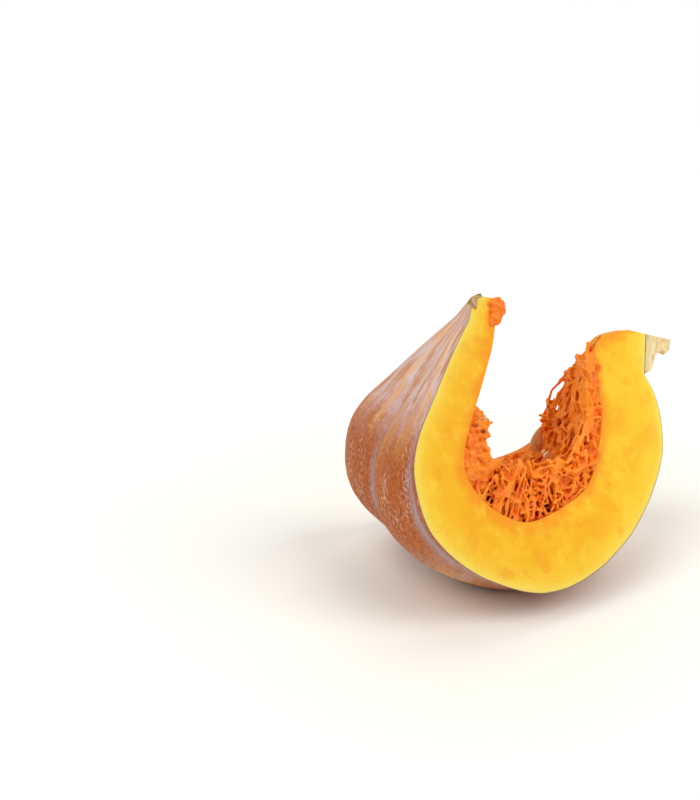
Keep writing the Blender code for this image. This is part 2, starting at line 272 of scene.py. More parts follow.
class Paint:
    """A material, and short ways to add nodes to it."""

    def __init__(self, name, roughness=0.5, **constants):
        self.material = bpy.data.materials.new(name)
        self.material.use_nodes = True
        self.tree = self.material.node_tree
        self.shader = self.tree.nodes["Principled BSDF"]
        set_inputs(self.shader, Roughness=roughness, **constants)

    def node(self, kind, **settings):
        node = self.tree.nodes.new(kind)
        for key, value in settings.items():
            setattr(node, key, value)
        return node

    def wire(self, source, socket):
        if isinstance(source, bpy.types.NodeSocket):
            self.tree.links.new(source, socket)
        else:
            socket.default_value = source

    def attribute(self, name, vector=False):
        node = self.node("ShaderNodeAttribute", attribute_name=name)
        return node.outputs["Vector" if vector else "Fac"]

    def position(self):
        return self.node("ShaderNodeTexCoord").outputs["Object"]

    def stretch(self, run, share):
        """A surface's own coordinates, with patterns drawn out along its grain."""
        node = self.node("ShaderNodeMapping")
        self.wire(run, node.inputs["Vector"])
        set_inputs(node, Scale=(share, 1.0, 1.0))
        return node.outputs["Vector"]

    def noise(self, vector, scale, detail=3.0, roughness=0.55, distortion=0.0):
        node = self.node("ShaderNodeTexNoise")
        self.wire(vector, node.inputs["Vector"])
        set_inputs(node, Scale=scale, Detail=detail, Roughness=roughness, Distortion=distortion)
        return node.outputs["Fac"]

    def cracks(self, vector, scale):
        node = self.node("ShaderNodeTexVoronoi", feature="DISTANCE_TO_EDGE")
        self.wire(vector, node.inputs["Vector"])
        set_inputs(node, Scale=scale)
        return node.outputs["Distance"]

    def band(self, value, low, high, out_low=0.0, out_high=1.0):
        """A smooth step between two values."""
        node = self.node("ShaderNodeMapRange", interpolation_type="SMOOTHSTEP")
        for socket, number in zip(range(5), (value, low, high, out_low, out_high)):
            self.wire(number, node.inputs[socket])
        return node.outputs["Result"]

    def calc(self, kind, first, second):
        node = self.node("ShaderNodeMath", operation=kind)
        self.wire(first, node.inputs[0])
        self.wire(second, node.inputs[1])
        return node.outputs["Value"]

    def times(self, first, second):
        return self.calc("MULTIPLY", first, second)

    def plus(self, first, second):
        return self.calc("ADD", first, second)

    def minus(self, first, second):
        return self.calc("SUBTRACT", first, second)

    def mix(self, first, second, share):
        node = self.node("ShaderNodeMix", data_type="RGBA")
        self.wire(share, node.inputs["Factor"])
        for value, socket in ((first, node.inputs[6]), (second, node.inputs[7])):
            self.wire((*value, 1.0) if isinstance(value, tuple) else value, socket)
        return node.outputs[2]

    def glaze(self, below, above, where, strength):
        """A colour laid over another where it says, at this strength."""
        return self.mix(below, above, self.times(where, strength))

    def colour(self, source):
        self.wire(source, self.shader.inputs["Base Color"])

    def roughness(self, source, low, high):
        """Roughness from low to high, as a noise has it."""
        self.wire(self.band(source, 0.3, 0.7, low, high), self.shader.inputs["Roughness"])

    def bump(self, height, distance, strength=1.0):
        node = self.node("ShaderNodeBump")
        self.wire(height, node.inputs["Height"])
        set_inputs(node, Distance=distance, Strength=strength)
        self.wire(node.outputs["Normal"], self.shader.inputs["Normal"])


def glow_through(paint, weight, radius, scale):
    """Light that soaks into wet flesh and comes out again, redder."""
    shader = paint.shader
    set_inputs(shader, Subsurface_Weight=weight, Subsurface_Radius=radius, Subsurface_Scale=scale)


def rind_paint():
    """Waxy rind: lilac bloom, peach patches along the ribs, rust-brown mottle round the girth."""
    paint = Paint("rind_skin", Specular_IOR_Level=0.22)
    run = paint.attribute("run", vector=True)
    girth = paint.attribute("girth")
    dip = paint.attribute("dip")
    tan = paint.band(paint.noise(paint.stretch(run, 0.38), 70, 4), 0.38, 0.60)
    colour = paint.mix((0.70, 0.47, 0.40), (0.63, 0.30, 0.16), tan)
    patch = paint.band(paint.noise(paint.stretch(run, 0.30), 44, 2, 0.4), 0.48, 0.60)
    crest = paint.band(dip, 0.50, 0.15)
    colour = paint.mix(colour, (0.92, 0.50, 0.19), paint.times(patch, crest))
    bloom = paint.band(paint.noise(paint.stretch(run, 0.5), 95, 4, 0.6), 0.42, 0.62)
    veil = paint.times(bloom, paint.band(girth, 0.9, 0.1, 0.15, 0.85))
    colour = paint.mix(colour, (0.77, 0.61, 0.60), veil)
    net = paint.noise(paint.stretch(run, 0.75), 430, 5, 0.70, 0.4)
    blotch = paint.noise(paint.stretch(run, 0.45), 75, 3, 0.6)
    mottle = paint.plus(paint.times(net, 0.62), paint.times(blotch, 0.38))
    rust_zone = paint.times(paint.band(mottle, 0.34, 0.49), girth)
    rust = paint.mix((0.52, 0.120, 0.010), (0.29, 0.050, 0.005), paint.band(net, 0.44, 0.64))
    colour = paint.glaze(colour, rust, rust_zone, 0.95)
    streak = paint.noise(paint.stretch(run, 0.09), 330, 3, 0.6)
    thread = paint.times(paint.band(streak, 0.58, 0.72), 0.26)
    colour = paint.mix(colour, (0.62, 0.42, 0.34), thread)
    groove = paint.times(paint.band(dip, 0.50, 0.88), paint.band(streak, 0.25, 0.50, 0.35, 1.0))
    colour = paint.glaze(colour, (0.44, 0.36, 0.365), groove, 0.92)
    # Painted shade: the bottoms of the rib grooves are darkened.
    painted_crease_shade = paint.band(dip, 0.82, 0.98)
    colour = paint.glaze(colour, (0.17, 0.105, 0.10), painted_crease_shade, 0.75)
    speck = paint.noise(run, 1500, 2, 0.5)
    colour = paint.glaze(colour, (0.22, 0.075, 0.030), paint.band(speck, 0.57, 0.69), 0.50)
    paint.colour(colour)
    paint.roughness(net, 0.45, 0.66)
    paint.bump(paint.plus(net, paint.times(streak, 0.7)), 0.00040, 0.8)
    return paint.material


def flesh_paint():
    """Cut flesh: a dark line under the skin, a lemon rim, then yellow that deepens inwards; painted light
    makes it paler and yellower towards +x.
    """
    paint = Paint("cut_flesh", Specular_IOR_Level=0.2, Coat_Weight=0.02, Coat_Roughness=0.3)
    spot = paint.position()
    skin = paint.attribute("skin")
    hollow = paint.attribute("hollow")
    cloud = paint.noise(spot, 38, 4, 0.55)
    waver = paint.plus(skin, paint.times(paint.minus(cloud, 0.5), 0.006))
    side = paint.node("ShaderNodeSeparateXYZ")
    paint.wire(spot, side.inputs[0])
    # Painted light: the flesh is paler and yellower towards +x, where more light falls.
    side_lit_yellow = paint.mix((0.90, 0.47, 0.006), (0.92, 0.57, 0.020), paint.band(side.outputs["X"], -0.04, 0.09))
    yellow = paint.glaze(side_lit_yellow, (0.88, 0.38, 0.004), paint.band(cloud, 0.42, 0.66), 0.62)
    pale = paint.noise(spot, 85, 3, 0.5, 0.4)
    yellow = paint.glaze(yellow, (0.94, 0.60, 0.035), paint.band(pale, 0.50, 0.68), 0.5)
    yellow = paint.glaze(yellow, (0.92, 0.64, 0.050), paint.band(waver, 0.026, 0.004), 0.6)
    ring = paint.band(paint.noise(spot, 60, 2, 0.5), 0.56, 0.70)
    yellow = paint.glaze(yellow, (0.86, 0.26, 0.006), ring, 0.35)
    ragged = paint.times(paint.minus(pale, 0.5), 0.022)
    inner = paint.band(paint.plus(hollow, ragged), 0.013, 0.0)
    yellow = paint.glaze(yellow, (0.90, 0.27, 0.004), inner, 0.75)
    colour = paint.mix((0.88, 0.66, 0.085), yellow, paint.band(waver, 0.0015, 0.0085))
    colour = paint.mix((0.80, 0.62, 0.19), colour, paint.band(skin, 0.0005, 0.0020))
    colour = paint.mix((0.17, 0.11, 0.055), colour, paint.band(skin, 0.0002, 0.0008))
    fibre = paint.noise(spot, 1100, 2, 0.6)
    colour = paint.glaze(colour, (0.95, 0.70, 0.22), paint.band(fibre, 0.64, 0.72), 0.5)
    pit = paint.band(paint.noise(spot, 620, 2, 0.5), 0.66, 0.74)
    colour = paint.glaze(colour, (0.72, 0.20, 0.010), pit, 0.5)
    paint.colour(colour)
    paint.roughness(fibre, 0.40, 0.58)
    paint.bump(paint.plus(fibre, paint.noise(spot, 500, 3, 0.6)), 0.00022, 0.7)
    glow_through(paint, 0.15, (1.0, 0.40, 0.05), 0.004)
    return paint.material


def wall_paint():
    """The cavity's bare wall: fibrous orange flesh, wetter and redder than the cut."""
    paint = Paint("cavity_flesh", Specular_IOR_Level=0.4, Coat_Weight=0.1, Coat_Roughness=0.3)
    run = paint.attribute("run", vector=True)
    strands = paint.noise(paint.stretch(run, 0.22), 420, 4, 0.6, 0.5)
    cloud = paint.noise(run, 60, 3)
    colour = paint.mix((0.86, 0.22, 0.008), (0.90, 0.38, 0.020), paint.band(strands, 0.40, 0.62))
    colour = paint.glaze(colour, (0.82, 0.15, 0.006), paint.band(cloud, 0.50, 0.68), 0.6)
    colour = paint.mix(colour, (0.91, 0.44, 0.018), paint.attribute("arm"))
    paint.colour(colour)
    paint.roughness(strands, 0.35, 0.55)
    paint.bump(strands, 0.0006, 0.8)
    glow_through(paint, 0.15, (1.0, 0.30, 0.04), 0.003)
    return paint.material


def pulp_paint():
    """Wet pulp: orange strands, painted dark red low in the web as painted shade, and paler on their free
    tops as a painted highlight.
    """
    paint = Paint("wet_pulp", Specular_IOR_Level=0.35, Coat_Weight=0.12, Coat_Roughness=0.15)
    spot = paint.position()
    lift = paint.attribute("lift")
    front = paint.attribute("front")
    cloud = paint.noise(spot, 120, 3, 0.6)
    # The colour follows each point's height in the web: painted shade, dark red, low down.
    height = paint.plus(lift, paint.times(paint.minus(cloud, 0.5), 0.5))
    # Near the front cut the painted shade is left off, as if lit.
    height = paint.calc("MAXIMUM", height, paint.plus(front, paint.minus(cloud, 0.5)))
    colour = paint.mix((0.48, 0.030, 0.001), (0.88, 0.150, 0.003), paint.band(height, 0.12, 0.60))
    colour = paint.mix(colour, (0.95, 0.260, 0.006), paint.band(height, 0.58, 0.90))
    # Painted highlight: paler orange on the strands' free tops.
    colour = paint.glaze(colour, (0.98, 0.35, 0.018), paint.band(height, 0.98, 1.35), 0.5)
    fine = paint.noise(spot, 700, 3, 0.6)
    colour = paint.glaze(colour, (0.98, 0.39, 0.026), paint.band(fine, 0.56, 0.72), 0.45)
    paint.colour(colour)
    paint.roughness(fine, 0.38, 0.6)
    paint.bump(fine, 0.0003, 0.7)
    glow_through(paint, 0.2, (1.0, 0.22, 0.02), 0.0025)
    return paint.material


def seed_paint():
    """Seed coats: cream, with a browner rim, fine fibres and a wet shine."""
    paint = Paint("seed_coat", Specular_IOR_Level=0.5, Coat_Weight=0.4, Coat_Roughness=0.15)
    run = paint.attribute("run", vector=True)
    rim = paint.attribute("rim")
    film = paint.attribute("film")
    fibres = paint.noise(paint.stretch(run, 0.15), 900, 3, 0.6)
    cloud = paint.noise(paint.position(), 180, 3)
    colour = paint.mix((0.97, 0.86, 0.62), (0.91, 0.70, 0.40), paint.band(fibres, 0.42, 0.66))
    colour = paint.glaze(colour, (0.90, 0.48, 0.14), paint.band(cloud, 0.52, 0.70), 0.4)
    colour = paint.glaze(colour, (0.74, 0.48, 0.22), rim, 0.45)
    colour = paint.mix(colour, (0.62, 0.20, 0.035), film)
    paint.colour(colour)
    paint.roughness(fibres, 0.28, 0.45)
    paint.bump(fibres, 0.0002, 0.6)
    glow_through(paint, 0.35, (1.0, 0.8, 0.5), 0.003)
    return paint.material


def cork_paint(name, light, dark, cracked, depth_share):
    """Dry corky skin, streaked along its grain, with dark cracks."""
    paint = Paint(name, Specular_IOR_Level=0.25)
    spot = paint.position()
    run = paint.attribute("run", vector=True)
    streak = paint.noise(paint.stretch(run, 0.25), 700, 5, 0.65, 0.5)
    patch = paint.noise(spot, 190, 4, 0.6)
    colour = paint.mix(dark, light, paint.band(streak, 0.36, 0.62))
    warm = tuple(c * s for c, s in zip(light, (1.05, 0.85, 0.62)))
    colour = paint.glaze(colour, warm, paint.band(patch, 0.46, 0.66), 0.7)
    edge = paint.cracks(paint.stretch(run, 0.5), cracked)
    gap = paint.band(edge, 0.0, 0.09, 1.0, 0.0)
    depth = paint.times(gap, paint.band(patch, 0.46, 0.62, 0.0, depth_share))
    colour = paint.glaze(colour, (0.10, 0.055, 0.028), depth, 0.8)
    paint.colour(colour)
    paint.roughness(streak, 0.72, 0.92)
    paint.bump(paint.minus(streak, depth), 0.0005, 0.9)
    return paint.material


# --- The wedge: rind, both cut faces and the cavity's wall, one closed body
STATIONS, SLICES, CUT_STEPS = 296, 126, 30
RIND, CUT, CAVITY = 0, 1, 2
RIND_LENGTH, RIND_RADIUS, WALL_RADIUS = 0.45, 0.16, 0.12
DEEP = 0.05


def rib_dip(theta):
    """How far the rind lies below its ribs' crests: 0 on a crest, 1 in a groove."""
    return 1.0 - np.abs(np.sin(np.pi * (theta - GROOVE_AT) / RIB_PITCH)) ** RIB_FULLNESS


def outer_outline(count):
    """The wedge's outer outline: blossom top, rind, stalk seat. With each point's rind share."""
    top_count, seat_count = 12, 12
    rind = smooth_through(RIND_OUTLINE, count - top_count - seat_count)
    top = smooth_through([*BLOSSOM_TOP, RIND_OUTLINE[0]], top_count + 1)[:-1]
    seat = np.linspace(rind[-1], (rind[-1][0], 0.0), seat_count + 1)[1:]
    shares = np.concatenate((np.zeros(top_count), np.linspace(0, 1, len(rind)), np.ones(seat_count)))
    return np.vstack((top, rind, seat)), shares


def inner_outline(count):
    """The cavity's outline from cut line to cut line, with each point's share."""
    end_count = 4
    first, last = WALL[0], WALL[-1]
    shares = np.linspace(0, 1, count - 2 * end_count)
    wall = np.stack([np.interp(shares, WALL_SHARES, WALL[:, k]) for k in (0, 1)], 1)
    head = np.linspace((first[0], 0.0), first, end_count + 1)[:-1]
    tail = np.linspace(last, (last[0] + 0.010, 0.0), end_count + 1)[1:]
    shares = np.concatenate((np.zeros(end_count), shares, np.ones(end_count)))
    normals = side_normals(np.vstack((head, wall, tail)))
    return np.vstack((head, wall, tail)), normals, shares


def rind_ring(theta):
    """The rind's points at one slice, with dips and fine wrinkles along the ribs."""
    outline, shares = outer_outline(STATIONS)
    normals = side_normals(outline)
    fade = np.clip(np.sin(np.pi * shares), 0.0, 1.0) ** RIB_FADE
    wander = 0.5 * np.sin(9.0 * shares + 0.4) * fade
    dip = rib_dip(theta + wander)
    swell = REAR_RIB_SWELL if theta > GROOVE_AT else 0.0
    depth = fade * (RIB_DEPTH * dip - swell * (1.0 - dip))
    run = run_at(shares * RIND_LENGTH, theta, RIND_RADIUS)
    fine = grain(run * (0.12, 1.0, 1.0), 330.0, 2, 3.0) * 0.00022
    broad = grain(run * (0.6, 1.0, 1.0), 60.0, 2, 9.0) * 0.00045
    ripple = np.sin(math.radians(theta) * 62.0 + 3.0 * np.sin(30 * shares))
    pucker = ease(shares, 0.88, 1.0) * ripple * 0.0005
    off = (fine + broad) * fade + pucker * fade**0.3
    a = outline[:, 0] - normals[:, 0] * (depth + off)
    rho = np.maximum(outline[:, 1] - normals[:, 1] * (depth + off), 0.0)
    rho[outline[:, 1] == 0.0] = 0.0
    return place(a, rho, theta), run, dip * fade, shares


def wall_ring(theta, outline, normals, shares):
    """The cavity wall's points at one slice, lumpy between the two cuts."""
    run = run_at(shares * WALL_LENGTH, theta, WALL_RADIUS)
    lumps = grain(run * (0.35, 1.0, 1.0), 240.0, 3, 5.0) * 0.0007
    lumps = lumps * ease(abs(theta - (FRONT_CUT + REAR_CUT) / 2), 26.5, 24.0)
    rise = wall_hollow(shares, theta) - lumps * np.sin(np.pi * shares)
    a, rho = (outline[:, k] + normals[:, k] * rise for k in (0, 1))
    return place(a, rho, theta), run


def shell_faces():
    """Faces from slice to slice, and the material of each."""
    n = STATIONS
    faces, kinds = [], []
    for k in range(SLICES - 1):
        near, far = k * 2 * n, (k + 1) * 2 * n
        for i in range(n - 1):
            faces.append((near + i, near + i + 1, far + i + 1, far + i))
            j = n + i
            faces.append((near + j + 1, near + j, far + j, far + j + 1))
            kinds += [RIND, CAVITY]
        faces.append((near + n - 1, near + 2 * n - 1, far + 2 * n - 1, far + n - 1))
        faces.append((near + n, near, far, far + n))
        kinds += [RIND, RIND]
    return faces, kinds


def cut_layers(outer, inner, theta, sign):
    """Rings over a cut face, faintly waved, with their depths under the skin and from the cavity."""
    facing = np.cross(ALONG, place(0.0, 1.0, theta) - ORIGIN)
    facing *= sign * np.sign(facing @ BACK)
    width = np.linalg.norm(outer - inner, axis=1)
    layers, skins, hollows = [], [], []
    for step in range(1, CUT_STEPS):
        inwards = step / CUT_STEPS
        layer = outer + (inner - outer) * inwards
        edge = np.minimum(inwards, 1 - inwards) * width
        relief = grain(layer, 45.0, 2, 1.0) * 0.00045 + grain(layer, 420.0, 2, 2.0) * 0.00010
        relief = relief * ease(edge, 0.0005, 0.006) * ease(layer[:, 2], 0.0, 0.004)
        layers.append(layer + facing * relief[:, None])
        skins.append(inwards * width)
        hollows.append((1 - inwards) * width)
    return layers, skins, hollows


def cut_faces(first, start):
    """Faces over a cut, from the rind's ring at first, over the layers at start, to the cavity."""
    rows = [first, *(start + k * STATIONS for k in range(CUT_STEPS - 1)), first + STATIONS]
    return [
        (near + i, near + i + 1, far + i + 1, far + i)
        for near, far in zip(rows, rows[1:])
        for i in range(STATIONS - 1)
    ]


def build_wedge():
    """Rings of points at each slice, closed by a fine grid over each cut face."""
    wall = inner_outline(STATIONS)
    none, deep = np.zeros(STATIONS), np.full(STATIONS, DEEP)
    points, runs, dips, shares = [], [], [], []
    for theta in np.linspace(FRONT_CUT, REAR_CUT, SLICES):
        rind_points, rind_run, dip, share = rind_ring(theta)
        wall_points, wall_run = wall_ring(theta, *wall)
        points += [rind_points, wall_points]
        runs += [rind_run, wall_run]
        dips += [dip, none]
        shares += [share, none]
    skins, hollows = [none, deep] * SLICES, [deep, none] * SLICES
    faces, kinds = shell_faces()
    for theta, ring, sign in ((FRONT_CUT, 0, -1.0), (REAR_CUT, 2 * SLICES - 2, 1.0)):
        layers, skin, hollow = cut_layers(points[ring], points[ring + 1], theta, sign)
        over = cut_faces(ring * STATIONS, len(points) * STATIONS)
        faces += over
        kinds += [CUT] * len(over)
        points += layers
        skins += skin
        hollows += hollow
        runs += [np.zeros((STATIONS, 3))] * len(layers)
        dips += [none] * len(layers)
        shares += [none] * len(layers)
    wedge = new_piece("pumpkin_wedge", np.vstack(points), faces)
    wedge.data.polygons.foreach_set("material_index", kinds)
    run, share = np.vstack(runs), np.concatenate(shares)
    set_vectors(wedge, "run", run)
    for name, values in (("dip", dips), ("skin", skins), ("hollow", hollows)):
        set_attribute(wedge, name, np.concatenate(values))
    stalk_arm = ease(run[:, 0], 0.88 * WALL_LENGTH, 0.94 * WALL_LENGTH)
    blossom_arm = ease(-run[:, 0], -0.10, -0.04)
    set_attribute(wedge, "arm", 0.9 * np.maximum(stalk_arm, blossom_arm))
    underneath = np.exp(-(((share - 0.46) / 0.07) ** 2))
    girth = ease(share, 0.11, 0.25) * (1.0 - 0.6 * underneath) * (1.0 - 0.8 * ease(share, 0.78, 0.95))
    set_attribute(wedge, "girth", girth)
    close_up(wedge)
    flatten_feet(wedge)
    for material in (rind_paint(), flesh_paint(), wall_paint()):
        wedge.data.materials.append(material)
    wedge.data.set_sharp_from_angle(angle=math.radians(50))
    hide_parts("flesh_and_rind")


def flatten_feet(wedge):
    """Presses what lies under the CAD's resting plane flat onto it."""
    co = positions(wedge)
    co[:, 2] = np.maximum(co[:, 2], 0.0)
    wedge.data.vertices.foreach_set("co", co.ravel())
    wedge.data.update()


# --- Strands
NEVER_ZERO, OFF_AXIS = 1e-12, (0.31, 0.87, 0.38)


class Strands:
    """Collects closed tubes, to be fused into one mesh."""

    def __init__(self):
        self.points, self.faces = [], []

    def tube(self, path, radii, sides=6):
        """A closed tube through path, its radius given at each point."""
        path, radii = np.asarray(path), np.asarray(radii)
        heading = np.gradient(path, axis=0)
        heading /= np.linalg.norm(heading, axis=1, keepdims=True) + NEVER_ZERO
        across = np.cross(heading, OFF_AXIS)
        across /= np.linalg.norm(across, axis=1, keepdims=True) + NEVER_ZERO
        third = np.cross(heading, across)
        base = sum(len(p) for p in self.points)
        turn = np.arange(sides) * 2 * np.pi / sides
        ring = np.cos(turn)[None, :, None] * across[:, None] + np.sin(turn)[None, :, None] * third[:, None]
        self.points.append((path[:, None] + ring * radii[:, None, None]).reshape(-1, 3))
        self.faces += closed_rings(len(path), sides, base)

    def strand(self, rng, start, end, sag, wobble, thin, thick, steps=8):
        """A strand from start to end that sags, wanders, and thickens where it is rooted."""
        t = np.linspace(0.0, 1.0, steps)
        path = np.asarray(start) + (np.asarray(end) - np.asarray(start)) * t[:, None]
        path += np.asarray(sag) * np.sin(np.pi * t)[:, None]
        rooted = (t * (1 - t) * 4)[:, None]
        for turns in (1.0, 2.0, 3.0):
            drift = rng.normal(0.0, wobble / turns, 3)
            path += drift * np.sin(np.pi * turns * t + rng.uniform(0, 0.6))[:, None] * rooted
        radii = thin + (thick - thin) * (2 * np.abs(t - 0.5)) ** 2.5
        self.tube(path, radii * rng.uniform(0.85, 1.15))

    def slab(self, points, back):
        """A closed sheet between two grids of points."""
        rows, columns = points.shape[:2]
        base = sum(len(p) for p in self.points)
        self.points += [points.reshape(-1, 3), back.reshape(-1, 3)]
        size = rows * columns
        for i in range(rows - 1):
            for j in range(columns - 1):
                a = base + i * columns + j
                quad = (a, a + 1, a + columns + 1, a + columns)
                self.faces += [quad, tuple(q + size for q in quad[::-1])]
        rim = [i * columns for i in range(rows)]
        rim += [(rows - 1) * columns + j for j in range(1, columns)]
        rim += [i * columns + columns - 1 for i in range(rows - 2, -1, -1)]
        rim += list(range(columns - 2, 0, -1))
        for p, q in zip(rim, rim[1:] + rim[:1]):
            self.faces.append((base + p, base + q, base + q + size, base + p + size))

    def fuse(self, name, slot, voxel, smooth):
        """One closed mesh of everything collected."""
        rough = bpy.data.meshes.new(name + "_rough")
        rough.from_pydata([tuple(p) for p in np.vstack(self.points)], [], [tuple(f) for f in self.faces])
        draft = add_object(name + "_draft", rough)
        remesh = draft.modifiers.new("fuse", "REMESH")
        remesh.mode = "VOXEL"
        remesh.voxel_size = voxel
        soften = draft.modifiers.new("soften", "SMOOTH")
        soften.factor = 0.5
        soften.iterations = smooth
        graph = bpy.context.evaluated_depsgraph_get()
        fused = bpy.data.meshes.new_from_object(draft.evaluated_get(graph))
        bpy.data.objects.remove(draft)
        bpy.data.meshes.remove(rough)
        fused.name = name
        fused.shade_smooth()
        return add_piece(name, fused)


def lift_of(points):
    """How high points lie above the cavity's wall, as a share of the pulp's thickness there; it sets the
    pulp's painted shade and painted highlight.
    """
    a, rho, theta = unplace(points)
    flat = np.stack((a, rho), 1)
    lift = np.empty(len(points))
    for start in range(0, len(points), 20000):
        part = slice(start, start + 20000)
        gaps = flat[part, None] - WALL[None]
        nearest = (gaps**2).sum(2).argmin(1)
        off = -(gaps[np.arange(len(nearest)), nearest] * WALL_NORMALS[nearest]).sum(1)
        share = WALL_SHARES[nearest]
        height = off + wall_hollow(share, theta[part])
        lift[part] = height / np.maximum(web_base(share, theta[part]), 0.006)
        # Raised where the net is torn away or the web is thin, so the painted shade stays off the bare
        # bed.
        lift[part] += 0.9 * (1.0 - torn_away(share, theta[part]))
        lift[part] += 0.30 * ease(-web_base(share, theta[part]), -0.012, -0.004)
    return lift


SEED_NODES = [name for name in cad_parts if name.startswith("seed_")]
SEED_MIDDLES = np.array([node_points(name).mean(0) for name in SEED_NODES])


def clear_of_seeds(points, room):
    """Whether all of the points keep this far from the middle of every seed."""
    gaps = np.linalg.norm(np.asarray(points)[:, None] - SEED_MIDDLES[None], axis=2)
    return gaps.min() > room


def bed_height(share, theta, cell):
    """The pulp's face between its strands, and lower still round each seed."""
    height = np.maximum(web_base(share, theta) - cell, 0.0012)
    face = cavity_point(share, theta, height)
    near = np.linalg.norm(face[..., None, :] - SEED_MIDDLES, axis=-1).min(-1)
    return np.maximum(height - 0.005 * ease(near, 0.011, 0.005), 0.0008)


def add_bed(strands, shares, turns, cell, bumps):
    """The dense pulp against the wall, from which strands rise."""
    share, theta = np.meshgrid(np.linspace(*shares), np.linspace(*turns), indexing="ij")
    height = bed_height(share, theta, cell)
    flat = cavity_point(share, theta, height).reshape(-1, 3)
    lumps = (grain(flat, 150.0, 3, 4.0) * bumps).reshape(share.shape)
    height = np.maximum(height + lumps * np.minimum(1.0, height / 0.006), 0.0009)
    strands.slab(cavity_point(share, theta, height), cavity_point(share, theta, -0.0012))


def torn_away(share, theta):
    """How much of the net is left: little of it by the rear cut, low on the stalk side."""
    gone = ease(theta, 9.0, 16.0) * ease(share, 0.53, 0.60) * ease(-share, -0.745, -0.715)
    return 1.0 - 0.62 * gone


NET_RADIUS, JITTER = 0.125, 0.38
NET_ROOM, LOOSE_ROOM = 0.0050, 0.0045


def net_spots(rng, shares, turns, pitch, over, proud):
    """The net's jittered crossings, each with its point, share, turn and height."""
    share_step = pitch[0] / WALL_LENGTH
    turn_step = math.degrees(pitch[1] / NET_RADIUS)
    spots = {}
    for i, share in enumerate(np.arange(shares[0], shares[1], share_step)):
        for j, theta in enumerate(np.arange(turns[0], turns[1], turn_step)):
            s = share + rng.uniform(-JITTER, JITTER) * share_step
            offset = (i % 2 - 0.5) * 0.5 * turn_step
            t = np.clip(theta + offset + rng.uniform(-JITTER, JITTER) * turn_step, *turns)
            h = web_base(s, t) * rng.uniform(*over) * torn_away(s, t)
            h += proud * to_rear(t) * ease(s, 0.70, 0.76)
            spots[i, j] = (cavity_point(s, t, h), s, t, h)
    return spots


def add_net(strands, rng, shares, turns, pitch, over, sag, radii, drop=0.16, proud=0.0):
    """A net of strands over the bed: crossings tied to their neighbours and to the bed."""
    spots = net_spots(rng, shares, turns, pitch, over, proud)
    for (i, j), (spot, s, t, h) in spots.items():
        towards_wall = cavity_point(s, t, h - 0.001) - spot
        towards_wall = towards_wall / np.linalg.norm(towards_wall)
        for tie in [(i + 1, j), (i, j + 1), (i + 1, j + 1 if i % 2 else j - 1)]:
            if tie not in spots or rng.uniform() < drop:
                continue
            end = spots[tie][0]
            if not clear_of_seeds([spot, (spot + end) / 2, end], NET_ROOM):
                continue
            thin = rng.uniform(*radii)
            strands.strand(rng, spot, end, towards_wall * rng.uniform(0, sag), 0.0009, thin, thin * 1.7)
        root_share = s + rng.normal(0, 0.01)
        root_height = max(h - rng.uniform(0.006, 0.011) - 0.7 * proud * to_rear(t), 0.0)
        root = cavity_point(root_share, t, root_height)
        if clear_of_seeds([spot, root], NET_ROOM):
            strands.strand(rng, root, spot, (0, 0, 0), 0.0007, rng.uniform(*radii), radii[1] * 1.6)


def add_loose(strands, rng, start, end, radii, wobble, flare, steps):
    """One strand that sags any way, unless a seed is near."""
    if clear_of_seeds([start, (start + end) / 2, end], LOOSE_ROOM):
        thin = rng.uniform(*radii)
        strands.strand(rng, start, end, rng.normal(0, 0.001, 3), wobble, thin, thin * flare, steps)


def add_fringe(strands, rng, shares, count, reach, turns, radii, lean=0.022):
    """Strands that stand up from the wall in the front cut, as the knife left them."""
    for _ in range(count):
        share = rng.uniform(*shares)
        theta = rng.uniform(*turns)
        top_share = share + rng.normal(0, lean)
        top = web_base(top_share, theta) * rng.uniform(*reach)
        top *= 0.92 + 0.14 * math.sin(58.0 * share + 1.0)
        start = cavity_point(share, theta, rng.uniform(-0.001, 0.35) * top if rng.uniform() < 0.4 else 0.0)
        end = cavity_point(top_share, theta + rng.normal(0, 1.0), top)
        add_loose(strands, rng, start, end, radii, 0.0016, 1.35, 12)


def add_ties(strands, rng, shares, count, levels, turns, length, radii):
    """Short strands that run along the wall at all heights and tie the others together."""
    for _ in range(count):
        share, theta = rng.uniform(*shares), rng.uniform(*turns)
        height = web_base(share, theta) * rng.uniform(*levels)
        other = share + rng.choice((-1, 1)) * rng.uniform(*length) / WALL_LENGTH
        rise = height + rng.normal(0, 0.0028)
        start = cavity_point(share, theta, height)
        end = cavity_point(other, np.clip(theta + rng.normal(0, 1.8), *turns), max(rise, 0.0))
        add_loose(strands, rng, start, end, radii, 0.0012, 1.5, 9)


def add_spikes(strands, rng, shares, count, turns):
    """Short torn ends that stand off the bare wall above the web."""
    for _ in range(count):
        share, theta = rng.uniform(*shares), turns[0] + (turns[1] - turns[0]) * rng.uniform() ** 2
        start = cavity_point(share, theta, -0.0006)
        end_share, end_theta = share + rng.normal(0, 0.012), theta + rng.normal(0, 1.5)
        end = cavity_point(end_share, end_theta, rng.uniform(0.0015, 0.0050))
        strands.strand(rng, start, end, (0, 0, 0), 0.0006, 0.0006, 0.0011, 6)


def finish_pulp(piece, paint, *nodes):
    points = positions(piece)
    lift, theta = np.minimum(lift_of(points), 1.15), unplace(points)[2]
    set_attribute(piece, "lift", lift)
    # Near the front cut the pulp's painted shade is left off, as if lit.
    set_attribute(piece, "front", 0.80 * ease(-theta, 24.5, 27.0))
    piece.data.materials.append(paint)
    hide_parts(*nodes)


